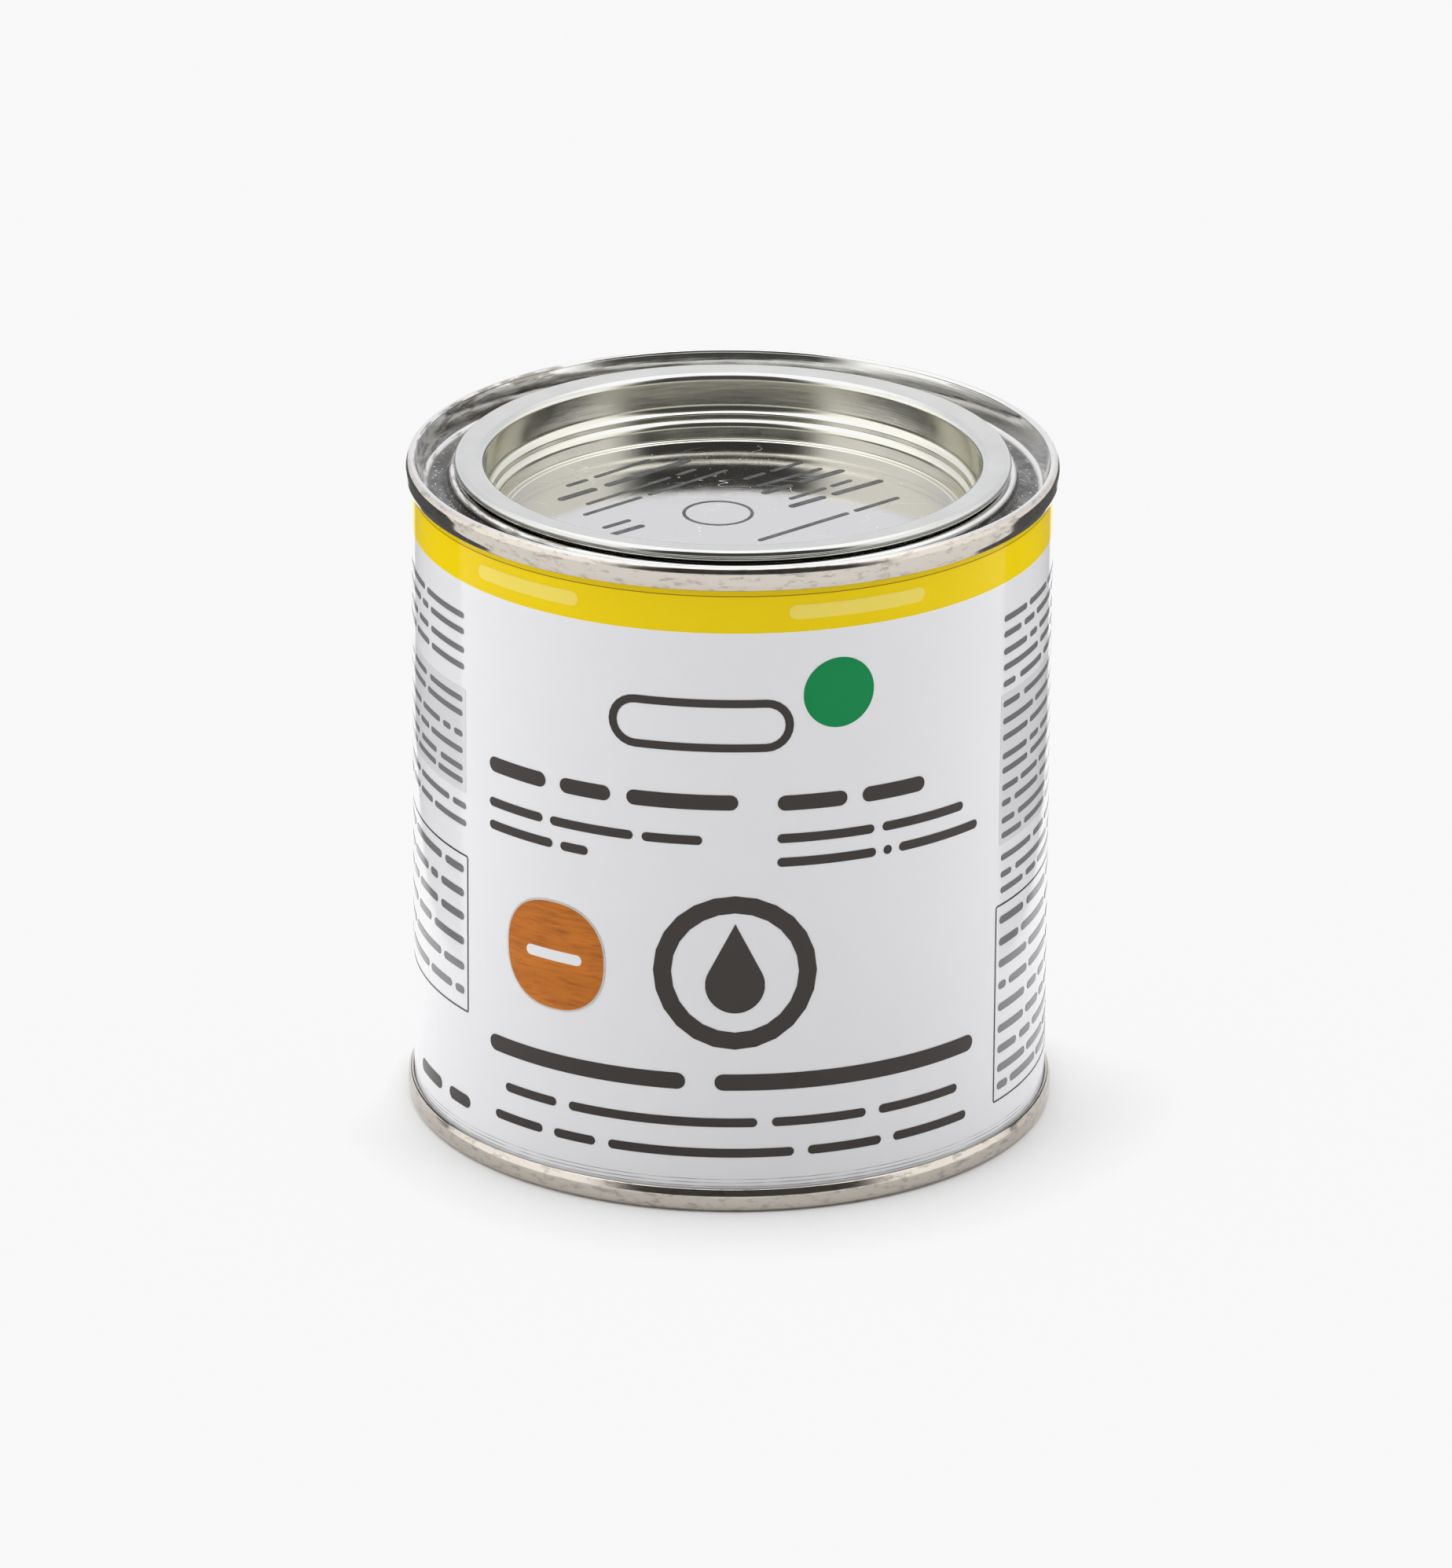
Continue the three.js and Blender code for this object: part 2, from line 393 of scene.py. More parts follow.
class Shader:
    """A material's node tree, built a node at a time."""

    def __init__(self, name="", tree=None):
        if tree is None:
            self.material = bpy.data.materials.new(name)
            self.material.use_nodes = True
            tree = self.material.node_tree
        self.tree = tree
        self.principled = tree.nodes.get("Principled BSDF")

    def node(self, kind, settings=None, **inputs):
        """A new node, given settings and its inputs by name, as values or sockets."""
        made = self.tree.nodes.new(kind)
        for key, value in (settings or {}).items():
            setattr(made, key, value)
        for key, value in inputs.items():
            self.feed(made.inputs[int(key[1:]) if key[0] == "_" else key.replace("_", " ")], value)
        return made

    def feed(self, socket, value):
        if isinstance(value, bpy.types.NodeSocket):
            self.tree.links.new(value, socket)
        else:
            socket.default_value = value

    def set(self, **inputs):
        for key, value in inputs.items():
            self.feed(self.principled.inputs[key.replace("_", " ")], value)

    def math(self, operation, a, b=0.0):
        return self.node("ShaderNodeMath", {"operation": operation}, _0=a, _1=b).outputs[0]

    def times(self, a, b):
        return self.math("MULTIPLY", a, b)

    def away(self, value, middle):
        """How far a value is from a middle one, either way."""
        return self.math("ABSOLUTE", self.math("SUBTRACT", value, middle))

    def remap(self, value, low, high, to_low=0.0, to_high=1.0):
        """A smooth step of a value, from to_low at low to to_high at high."""
        made = self.node("ShaderNodeMapRange", {"interpolation_type": "SMOOTHSTEP"}, Value=value)
        limits = {"From Min": low, "From Max": high, "To Min": to_low, "To Max": to_high}
        for key, number in limits.items():
            made.inputs[key].default_value = number
        return made.outputs[0]

    def mix(self, share, a, b):
        made = self.node("ShaderNodeMix", {"data_type": "RGBA"})
        for index, value in ((0, share), (6, a), (7, b)):
            if isinstance(value, tuple) and len(value) == 3:
                value = (*value, 1)
            self.feed(made.inputs[index], value)
        return made.outputs[2]

    def noise(self, vector, scale, detail=2.0, roughness=0.5):
        made = self.node("ShaderNodeTexNoise",
                         Vector=vector, Scale=scale, Detail=detail, Roughness=roughness)
        return made.outputs["Fac"]

    def place(self):
        return self.node("ShaderNodeTexCoord").outputs["Object"]

    def stretched(self, x, y, z):
        made = self.node("ShaderNodeMapping", Vector=self.place(), Scale=(x, y, z))
        return made.outputs[0]

    def vector(self, operation, **inputs):
        return self.node("ShaderNodeVectorMath", {"operation": operation}, **inputs).outputs

    def flat(self):
        """The place without its height."""
        return self.vector("MULTIPLY", _0=self.place(), _1=(1, 1, 0))[0]

    def parts(self, vector):
        return self.node("ShaderNodeSeparateXYZ", Vector=vector).outputs

    def radius(self):
        """Distance from the tin's axis, in metres."""
        return self.vector("LENGTH", _0=self.flat())["Value"]

    def along(self, around, across):
        """Coordinates that run round the tin slowly and across the sheet fast, for drawn lines."""
        turn = self.parts(self.vector("NORMALIZE", _0=self.flat())[0])
        uv = self.node("ShaderNodeUVMap", {"uv_map": "turned"})
        sheet_run = self.parts(uv.outputs[0])[1]
        joined = self.node("ShaderNodeCombineXYZ",
                           X=self.times(turn[0], around),
                           Y=self.times(turn[1], around),
                           Z=self.times(sheet_run, across))
        return joined.outputs[0]

    def bump(self, height, distance, strength=1.0, under=None):
        made = self.node("ShaderNodeBump", Height=height, Strength=strength, Distance=distance)
        if under is not None:
            self.feed(made.inputs["Normal"], under)
        return made.outputs[0]


# ------------------------------------------------------------------ materials


# Lines of painted shade over the bottom seam, standing in for beads that the wall doesn't have
BEAD_SHADE_LINES = ((0.25, 0.1), (0.75, 0.1), (1.25, 0.08))  # height over the bottom seam, and width
BEAD_SHADE = (0.25, 0.25, 0.25)
# Colour of the painted shade under the top seam
SEAM_SHADE = (0.2, 0.11, 0.005)
SEAM_SHADE_LINE = 0.00085  # distance of the painted shade line under the top seam, in metres like all below
GROOVE_SHADE = (0.05, 0.045, 0.04)  # painted shade in the groove
SPECK = (0.75, 0.74, 0.72)
PANEL_TINT = (0.565, 0.558, 0.545)
BRUSHED = ((0.48, 0.48, 0.46), (0.6, 0.6, 0.58))
SCRATCH = (0.8, 0.8, 0.78)

# Edges between the zones of a turned piece, as the radii where a soft step starts and ends
SEAM_OUTSIDE = (0.0421, 0.0427)
SEAM_INSIDE = (0.0419, 0.0421)
STREAK_REFLECTION_SIDE = (-0.028, 0.002)  # along X instead, from the left of the tin to its middle, across which the painted reflection streaks fade
GROOVE_OUTSIDE = (0.0399, 0.0406)
RIM_IN = (0.0326, 0.0329)
SATIN_IN = (0.0332, 0.0337)
SATIN_OUT = (0.0357, 0.0361)
RECESS_IN = (0.0300, 0.0304)
RECESS_OUT = (0.0330, 0.0334)
PANEL_EDGE = (0.0298, 0.0301)


def bare_tin(name, tint, outside_reflection, dull, roughness):
    """Bright tinplate with lines drawn round it, faint blotches and small scuffs. On a seam's
    outside it is rubbed and has a painted warm reflection, on its inside at the left it has painted
    dark reflection streaks, and the groove has painted shade with pale specks of dust."""
    s = Shader(name)
    lines = s.noise(s.along(3.0, 5000.0), 1.0, 3.0)
    blotches = s.noise(s.place(), 260.0, 4.0)
    scuffs = s.remap(s.noise(s.along(60.0, 2500.0), 1.0, 5.0, 0.7), 0.62, 0.74)
    outside = s.remap(s.radius(), *SEAM_OUTSIDE)
    wear = s.remap(s.noise(s.along(22.0, 1500.0), 1.0, 5.0, 0.65), 0.50, 0.66)
    rubbed = s.times(s.times(wear, outside), 0.6)
    # Painted dark reflection streaks on a seam's inside, strongest at the left of the tin
    reflection_streaks = s.remap(s.noise(s.along(7.0, 1100.0), 1.0, 4.0, 0.6), 0.45, 0.6, 0.0, 0.9)
    inside = s.remap(s.radius(), *SEAM_INSIDE, 1.0, 0.0)
    side, front, height = s.parts(s.place())
    painted_streaks = s.times(s.times(reflection_streaks, inside), s.remap(side, *STREAK_REFLECTION_SIDE, 1.0, 0.12))
    # Scuffs, wear on a seam's outside and the painted reflection streaks all darken the metal
    # towards the dull colour
    shade = s.math("MAXIMUM", s.math("MAXIMUM", s.times(scuffs, 0.35), rubbed), painted_streaks)
    # A seam's outside takes the painted warm reflection colour in place of the tint
    metal = s.mix(shade, s.mix(outside, tint, outside_reflection), dull)
    # Painted shade in the groove, heavier at the front and in patches, with pale specks of dust
    # over it
    specks = s.remap(s.noise(s.place(), 2600.0, 2.0, 0.6), 0.62, 0.7)
    shade_to_front = s.remap(front, -0.005, 0.04, 1.0, 0.7)
    patchy_shade = s.times(shade_to_front, s.remap(blotches, 0.35, 0.6, 0.85, 1.0))
    shaded_groove = s.mix(specks, s.mix(patchy_shade, metal, GROOVE_SHADE), SPECK)
    # Where the groove's painted shade lies: under the ring's shoulder, above the groove's floor and
    # inside the seam
    floor = (HEIGHT - GROOVE_DEPTH) * MM
    shoulder = (HEIGHT - SHOULDER_DEPTH) * MM
    under_shoulder = s.remap(height, shoulder - 0.0009, shoulder - 0.0004, 1.0, 0.0)
    over_floor = s.remap(height, floor - 0.0003, floor - 0.0001)
    within = s.remap(s.radius(), *GROOVE_OUTSIDE, 1.0, 0.0)
    in_groove = s.times(s.times(under_shoulder, over_floor), within)
    s.set(Metallic=1.0, Base_Color=s.mix(in_groove, metal, shaded_groove))
    rough = s.remap(blotches, 0.3, 0.7, roughness * 0.8, roughness * 1.25)
    worn = s.math("ADD", rough, s.times(scuffs, 0.08))
    s.set(Roughness=s.math("ADD", worn, s.times(in_groove, 0.12)))
    drawn = s.bump(s.noise(s.along(3.5, 800.0), 1.0, 2.0), 0.000022, 1.0, s.bump(lines, 0.000004))
    s.set(Normal=s.bump(blotches, 0.00002, 0.6, drawn))
    return s.material


def lid_tin(name, tint, dull):
    """Lid tinplate: bright in the recess, satin on the flat of the rim, scratched on the panel."""
    s = Shader(name)
    r = s.radius()
    satin = s.times(s.remap(r, *SATIN_IN), s.remap(r, *SATIN_OUT, 1.0, 0.0))
    panel = s.remap(r, *PANEL_EDGE, 1.0, 0.0)
    lines = s.noise(s.along(3.0, 5000.0), 1.0, 3.0)
    rolled = s.noise(s.stretched(3200.0, 260.0, 260.0), 1.0, 4.0, 0.6)
    blotches = s.noise(s.place(), 220.0, 4.0)
    scuffs = s.remap(s.noise(s.stretched(900.0, 90.0, 90.0), 1.0, 5.0, 0.7), 0.62, 0.74)
    veins = s.away(s.noise(s.stretched(75.0, 160.0, 75.0), 1.0, 2.0), 0.5)
    where = s.remap(s.noise(s.place(), 140.0, 2.0), 0.5, 0.62)
    scratches = s.times(s.remap(veins, 0.0008, 0.0028, 1.0, 0.0), where)
    specks = s.remap(s.noise(s.place(), 1500.0, 1.0), 0.76, 0.8)
    marks = s.times(s.math("MAXIMUM", scratches, specks), panel)
    brushed = s.mix(s.noise(s.along(5.0, 260.0), 1.0, 3.0), *BRUSHED)
    bare = s.mix(panel, s.mix(s.remap(r, *RIM_IN), tint, brushed), PANEL_TINT)
    worn = s.mix(s.times(scuffs, 0.25), bare, dull)
    s.set(Metallic=1.0, Base_Color=s.mix(marks, worn, SCRATCH))
    rough = s.remap(blotches, 0.3, 0.7, 0.06, 0.11)
    walls = s.times(s.remap(r, *RECESS_IN), s.remap(r, *RECESS_OUT, 1.0, 0.0))
    wall_rough = s.math("ADD", rough, s.times(walls, 0.08))
    satin_rough = s.math("ADD", wall_rough, s.times(satin, 0.3))
    s.set(Roughness=s.math("ADD", satin_rough, s.times(marks, 0.35)))
    drawn = s.times(s.noise(s.along(3.5, 800.0), 1.0, 2.0), s.math("SUBTRACT", 1.0, panel))
    drawn_bump = s.bump(drawn, 0.000014, 1.0, s.bump(lines, 0.000003))
    sheet_lines = s.bump(rolled, 0.000004, 1.0, drawn_bump)
    s.set(Normal=s.bump(blotches, 0.000015, 0.6, sheet_lines))
    return s.material


def varnished(name, colour, shade, roughness, specular=0.5, seam_shade=None, bead_shade=None):
    """Offset print under clear varnish, with a faint orange peel. The seam shade colour paints
    shade under the top seam, a dark line and a faint strip, and the bead shade colour paints broken
    lines over the bottom seam, as the shade of beads that the wall doesn't have."""
    s = Shader(name)
    peel = s.noise(s.place(), 900.0, 2.0)
    cloud = s.noise(s.place(), 45.0, 3.0)
    print_colour = s.mix(s.remap(cloud, 0.35, 0.65), colour, shade)
    # Painted shade under the top seam: a dark line at a set distance below it, and a faint darker
    # strip from there up to the seam
    if seam_shade:
        height = s.parts(s.place())[2]
        line = (HEIGHT - SEAM_HEIGHT) * MM - SEAM_SHADE_LINE
        strip = s.remap(height, line - 0.00005, line + 0.00005, 0.0, 0.15)
        edge = s.remap(s.away(height, line), 0.00004, 0.0001, 0.9, 0.0)
        print_colour = s.mix(s.math("MAXIMUM", strip, edge), print_colour, seam_shade)
    # Painted shade of beads: grey lines over the bottom seam, broken up by noise
    if bead_shade:
        height = s.parts(s.place())[2]
        broken = s.remap(s.noise(s.along(9.0, 500.0), 1.0, 3.0), 0.35, 0.6, 0.3, 1.0)
        for rise, width in BEAD_SHADE_LINES:
            away = s.away(height, (SEAM_HEIGHT + rise) * MM)
            line = s.remap(away, width * 0.4 * MM, width * 0.7 * MM, 1.0, 0.0)
            print_colour = s.mix(s.times(line, broken), print_colour, bead_shade)
    s.set(Base_Color=print_colour)
    s.set(Roughness=s.remap(peel, 0.3, 0.7, roughness * 0.8, roughness * 1.2))
    s.set(Specular_IOR_Level=specular)
    s.set(Normal=s.bump(peel, 0.000002))
    return s.material


def plain(name, colour, roughness):
    """For the flags, which only reflections see."""
    s = Shader(name)
    s.set(Base_Color=(*colour, 1), Roughness=roughness)
    return s.material


def mottled(name, colour, shade, roughness, scale, relief):
    """Two shades in soft patches, with a grain of its own size in roughness and relief."""
    s = Shader(name)
    patches = s.noise(s.place(), scale * 0.2, 3.0)
    grain = s.noise(s.place(), scale, 4.0, 0.6)
    s.set(Base_Color=s.mix(s.remap(patches, 0.35, 0.65), colour, shade))
    s.set(Roughness=s.remap(grain, 0.3, 0.7, roughness * 0.8, roughness * 1.2))
    s.set(Normal=s.bump(grain, relief))
    return s.material


def liquid(name, colour, skin):
    """The finish: a still, glossy surface with a few islands of dried skin near the wall."""
    s = Shader(name)
    ripple = s.noise(s.place(), 60.0, 2.0)
    edge = s.remap(s.radius(), 0.030, 0.0405)
    islands = s.remap(s.noise(s.place(), 240.0, 5.0, 0.6), 0.56, 0.64)
    dry = s.times(islands, edge)
    swirl = s.noise(s.along(2.0, 400.0), 1.0, 4.0)
    fluid = s.mix(s.remap(swirl, 0.3, 0.7), colour, tuple(c * 0.8 for c in colour))
    s.set(Base_Color=s.mix(dry, fluid, skin))
    s.set(Roughness=s.remap(dry, 0.0, 1.0, 0.06, 0.45))
    surface = s.bump(ripple, 0.0001, 0.5)
    s.set(Normal=s.bump(dry, 0.0001, 1.0, surface))
    return s.material


WHITE = varnished("white print", (0.765, 0.765, 0.78), (0.755, 0.755, 0.77), 0.12, bead_shade=BEAD_SHADE)
YELLOW = varnished("yellow print", (0.845, 0.615, 0.0), (0.82, 0.595, 0.0), 0.12, 0.12, SEAM_SHADE)
# The third colour is the painted warm reflection on the seams' outsides; the fourth is the colour
# that scuffs, wear and the painted reflection streaks darken towards
END_TIN = bare_tin("end tinplate",
                   (0.68, 0.675, 0.655), (0.55, 0.505, 0.45), (0.26, 0.235, 0.21), 0.1)
LID_TIN = lid_tin("lid tinplate", (0.63, 0.62, 0.55), (0.34, 0.33, 0.31))
LINING = bare_tin("wall inside", (0.60, 0.58, 0.54), (0.60, 0.58, 0.54), (0.4, 0.38, 0.35), 0.3)
COMPOUND_RUBBER = mottled("sealing compound",
                          (0.08, 0.085, 0.09), (0.06, 0.065, 0.07), 0.7, 1500.0, 0.00002)
FINISH = liquid("oil-wax finish", (0.35, 0.14, 0.04), (0.42, 0.22, 0.09))

# ------------------------------------------------------------------ camera

LENS = 256.24
ELEVATION = 21.524
DISTANCE = 1481.2
AIM = (-0.655, 0, 43.293)
ROLL = 0.325


def make_camera():
    camera = bpy.data.objects.new("camera", bpy.data.cameras.new("camera"))
    bpy.context.collection.objects.link(camera)
    camera.data.lens = LENS
    camera.data.clip_end = 20
    rise = math.radians(ELEVATION)
    back = Vector((0, -math.cos(rise), math.sin(rise)))
    up = back.cross(Vector((1, 0, 0)))
    level = Matrix(((1, 0, 0), tuple(up), tuple(back))).transposed()
    turn = level @ Matrix.Rotation(math.radians(ROLL), 3, "Z")
    camera.matrix_world = Matrix.Translation((Vector(AIM) + back * DISTANCE) * MM) @ turn.to_4x4()
    bpy.context.scene.camera = camera


make_camera()

# ------------------------------------------------------------------ metal pieces


def wall_zone(azimuth, r, z):
    if r < BODY_WALL:
        return 2
    if abs(abs(azimuth) - SIDE_SEAM) * math.radians(1) * WALL_RADIUS < SEAM_MARGIN:
        return 3
    return 1 if z > BAND_BOTTOM else 0


def lap(azimuth, r, z):
    """The overlap of the side seam, away from the two double seams."""
    off = (180 - abs(azimuth)) * math.radians(1) * WALL_RADIUS
    inside = LAP_END < z < HEIGHT - LAP_END
    return LAP_RISE * inside * max(0, min(1, (LAP_WIDTH / 2 - off) / LAP_EDGE + 0.5))


def seam_columns():
    """Extra azimuths at the edges of the lap and of the unprinted strip."""
    offs = (0, 0.25, 0.45, 0.55, 0.65, 0.8, SEAM_MARGIN)
    turns = [math.degrees(off / WALL_RADIUS) for off in offs]
    return [t - 180 for t in turns] + [180 - t for t in turns[1:]]


can_wall = turned("can_wall", wall_outline(), [WHITE, YELLOW, LINING, END_TIN],
                  "can", "printed_tinplate",
                  azimuths=even_azimuths(seam_columns()), zone=wall_zone, swell=lap)
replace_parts(can_wall, "can_body")
seamed_ring = turned("seamed_ring", ring_outline(), [END_TIN], "can", "end_tinplate")
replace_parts(seamed_ring, "top_ring")
seamed_base = turned("seamed_base", base_outline(), [END_TIN], "can", "end_tinplate")
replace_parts(seamed_base, "bottom_end")
pressed_lid = turned("pressed_lid", lid_outline(), [LID_TIN], "lid", "lid_tinplate")
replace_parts(pressed_lid, "lever_lid")
top_compound = turned("top_compound", at_top(compound_outline())[::-1], [COMPOUND_RUBBER],
                      "can", "seam_compound")
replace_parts(top_compound, "top_seam_compound")
base_compound = turned("base_compound", compound_outline(), [COMPOUND_RUBBER],
                       "can", "seam_compound")
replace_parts(base_compound, "bottom_seam_compound")
finish_fill = turned("finish_fill", finish_outline(), [FINISH], "can", "wax_finish")
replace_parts(finish_fill, "wax_contents")

# ------------------------------------------------------------------ print and sticker

INK = 0.02  # thickness of a print layer
INK_GAP = 0.008  # between the print and the wall
SMALL_CORNER = 2  # a corner below this radius has few points
FINE_CORNER_STEP = 5  # degrees


def on_wall(azimuth, z):
    """Places a flat point, (right, up) in millimetres, on the wall about a middle point."""
    def place(right, up, lift):
        turn = math.radians(azimuth) + right / WALL_RADIUS
        r = (WALL_RADIUS + lift) * MM
        return r * math.sin(turn), -r * math.cos(turn), (z + up) * MM
    return place


def on_panel(x, y, turn):
    """The same on the lid's panel, with the flat piece turned about the vertical."""
    c, s = math.cos(math.radians(turn)), math.sin(math.radians(turn))
    def place(right, up, lift):
        return (x + right * c - up * s) * MM, (y + right * s + up * c) * MM, (PANEL_TOP + lift) * MM
    return place


def bar(length, height, corner=None):
    """Columns (right, low, high) of a bar with round ends, centred on (0, 0)."""
    corner = min(length, height) / 2 if corner is None else corner
    ends = [(corner * (1 - math.cos(math.radians(a))), corner * math.sin(math.radians(a)))
            for a in ((12, 32, 52, 70, 90) if corner < SMALL_CORNER
                      else range(FINE_CORNER_STEP, 91, FINE_CORNER_STEP))]
    count = max(1, math.ceil((length - 2 * corner) / 1.0))
    inner = [(corner + (length - 2 * corner) * i / count, corner) for i in range(1, count)]
    if length - 2 * corner < 0.02:  # a disc, whose two ends share their last column
        del ends[-1:]
        inner = [(corner, corner)]
    right = [(length - x, y) for x, y in ends[::-1]]
    return [(x - length / 2, corner - height / 2 - y, height / 2 - corner + y)
            for x, y in ends + inner + right]


def loop(width, height, corner):
    """Points round a rectangle with round corners, centred on (0, 0)."""
    points = []
    side_x, side_y = width / 2 - corner, height / 2 - corner
    middles = ((side_x, side_y), (-side_x, side_y), (-side_x, -side_y), (side_x, -side_y))
    counts = (max(1, math.ceil(2 * side_x)), max(1, math.ceil(2 * side_y / 4)))
    for k, (cx, cy) in enumerate(middles):
        for i in range(7):
            turn = math.radians(90 * k + 15 * i)
            points.append((cx + corner * math.cos(turn), cy + corner * math.sin(turn)))
        ahead = middles[(k + 1) % 4]
        count = counts[k % 2]
        out = math.radians(90 * k + 90)
        for i in range(1, count):
            x = cx + (ahead[0] - cx) * i / count + corner * math.cos(out)
            y = cy + (ahead[1] - cy) * i / count + corner * math.sin(out)
            points.append((x, y))
    return points


class Print:
    """Thin flat shapes of one ink, each a closed slab, gathered into one piece."""

    def __init__(self, name, material, body="can", slot="printed_tinplate",
                 base=INK_GAP, top=INK_GAP + INK):
        self.name = name
        self.material = material
        self.body = body
        self.slot = slot
        self.lifts = (base, top)
        self.vertices = []
        self.faces = []

    def prism(self, sections, place, closed):
        """Four-cornered sections, joined each to the next."""
        start = len(self.vertices)
        low, high = self.lifts
        for a, b in sections:
            for point, lift in ((a, low), (a, high), (b, high), (b, low)):
                self.vertices.append(place(*point, lift))
        count = len(sections)
        for i in range(count if closed else count - 1):
            a, b = start + 4 * i, start + 4 * ((i + 1) % count)
            for k in range(4):
                n = (k + 1) % 4
                self.faces.append((a + k, b + k, b + n, a + n))
        if not closed:
            last = start + 4 * (count - 1)
            self.faces.append((start, start + 1, start + 2, start + 3))
            self.faces.append((last + 3, last + 2, last + 1, last))

    def shape(self, columns, place):
        self.prism([((x, low), (x, high)) for x, low, high in columns], place, False)

    def ring(self, width, height, corner, stroke, place):
        outer = loop(width, height, corner)
        inner = []
        for x, y in outer:
            side_x, side_y = width / 2 - corner, height / 2 - corner
            cx, cy = max(-side_x, min(side_x, x)), max(-side_y, min(side_y, y))
            away = math.dist((x, y), (cx, cy))
            share = (away - stroke) / away
            inner.append((cx + (x - cx) * share, cy + (y - cy) * share))
        self.prism(list(zip(outer, inner)), place, True)

    def make(self):
        mesh = bpy.data.meshes.new(self.name)
        mesh.from_pydata(self.vertices, [], self.faces)
        return new_piece(self.name, mesh, [self.material], self.body, self.slot)


def words(length, letters, pitch_gap=0.9):
    """(middle, length) of each word's bar along a line, from their letter counts."""
    unit = length / (sum(letters) + pitch_gap * (len(letters) - 1))
    bars, at = [], -length / 2
    for n in letters:
        bars.append((at + n * unit / 2, n * unit))
        at += (n + pitch_gap) * unit
    return bars


def wall_line(ink, left, right, z, height, letters):
    """A line of word bars on the wall between two azimuths."""
    length = math.radians(right - left) * WALL_RADIUS
    middle = (left + right) / 2
    for at, run in words(length, letters):
        place = on_wall(middle + math.degrees(at / WALL_RADIUS), z)
        ink.shape(bar(run, height), place)


DARK_INK = varnished("dark ink", (0.030, 0.023, 0.020), (0.036, 0.028, 0.025), 0.12, 0.3)
GREY_INK = varnished("grey ink", (0.16, 0.155, 0.155), (0.18, 0.175, 0.175), 0.12)
TINT_INK = varnished("tint ink", (0.66, 0.66, 0.675), (0.65, 0.65, 0.665), 0.12)
GREEN_INK = varnished("green ink", (0.0, 0.235, 0.065), (0.0, 0.22, 0.06), 0.12, 0.15)
PALE_INK = varnished("pale yellow ink", (0.85, 0.68, 0.10), (0.84, 0.665, 0.09), 0.12, 0.3)

dark = Print("label_dark", DARK_INK, base=INK_GAP + INK, top=INK_GAP + 2 * INK)
grey = Print("label_small_print", GREY_INK, base=INK_GAP + INK, top=INK_GAP + 2 * INK)
tint = Print("label_tint", TINT_INK)
green = Print("label_green", GREEN_INK)
pale = Print("label_pale", PALE_INK)

# Band
wall_line(pale, -51, -28, 83.3, 2.0, [8])
wall_line(pale, 10, 36, 83.3, 2.0, [9])

# Front: name plate and mark, headings, badge, and three lines below
dark.ring(math.radians(33) * WALL_RADIUS, 7.2, 3.6, 1.1, on_wall(-5.5, 67.9))
green.shape(bar(9.6, 9.6), on_wall(19.2, 71.8))
wall_line(dark, -48, 1.3, 57.3, 2.1, [4, 3, 6])
wall_line(dark, 8.2, 36.4, 57.1, 2.1, [4, 4])
for left, right, z, letters in (
    (-48, -5, 52.0, [7, 9, 6]), (-48, -26, 48.8, [8, 3]),
    (8.2, 45.6, 52.2, [10, 10]), (8.2, 49.4, 48.9, [11, 1, 11]),
):
    wall_line(dark, left, right, z, 1.25, letters)
BADGE = on_wall(0.9, 33.6)
dark.ring(21.5, 21.5, 10.75, 2.4, BADGE)


def droplet(radius, tip):
    """Columns of a drop: a circle drawn up to a point."""
    touch = radius * radius / tip
    slope = math.sqrt(tip * tip - radius * radius) / radius
    columns = []
    for i in range(21):
        x = -0.995 * radius * math.cos(math.pi * i / 20)
        low = -math.sqrt(radius * radius - x * x)
        edge = math.sqrt(radius * radius - touch * touch)
        high = -low if abs(x) > edge else tip - abs(x) * slope
        columns.append((x, low - radius * 0.45, high - radius * 0.45))
    return columns


dark.shape(droplet(3.9, 8.6), BADGE)
wall_line(dark, -48, 49, 18.2, 2.3, [7, 9])
wall_line(dark, -44, 45, 12.5, 1.25, [4, 12, 6, 6])
wall_line(dark, -46.6, 47.4, 8.2, 1.25, [4, 3, 12, 5, 6])


def side_text(ink, rows, left, right, height, ragged_left, seed):
    """Small print in rows of word bars, ragged on one side."""
    draw = random.Random(seed)
    for z in rows:
        letters = [draw.randint(2, 10) for _ in range(6)]
        short = draw.uniform(0, 7)
        low, high = (left + short, right) if ragged_left else (left, right - short)
        wall_line(ink, low, high, z, height, letters)


def side_box(ink, left, right, low, high, stroke=None):
    """A box between two azimuths and heights: an outline with a stroke, or else solid."""
    width = math.radians(right - left) * WALL_RADIUS
    place = on_wall((left + right) / 2, (low + high) / 2)
    if stroke:
        ink.ring(width, high - low, 0.4, stroke, place)
    else:
        ink.shape(bar(width, high - low, 0.2), place)


# Left side panel
side_text(grey, (75.9, 73.7, 71.1, 68.8), -123, -55.5, 0.85, True, 1)
side_box(tint, -123, -55, 51.3, 65.8)
side_text(grey, (64.2, 62.2, 59.3, 57.0, 54.6, 52.8), -122, -56, 0.85, True, 2)
side_text(grey, (49.4, 47.0), -123, -55, 0.85, True, 3)
side_box(dark, -124, -54.4, 20.4, 42.6, 0.22)
side_text(grey, (40.4, 37.0, 33.7, 30.2, 26.6, 23.2), -122.5, -55.8, 1.1, True, 4)
wall_line(dark, -75, -54, 7.6, 1.8, [3, 2])

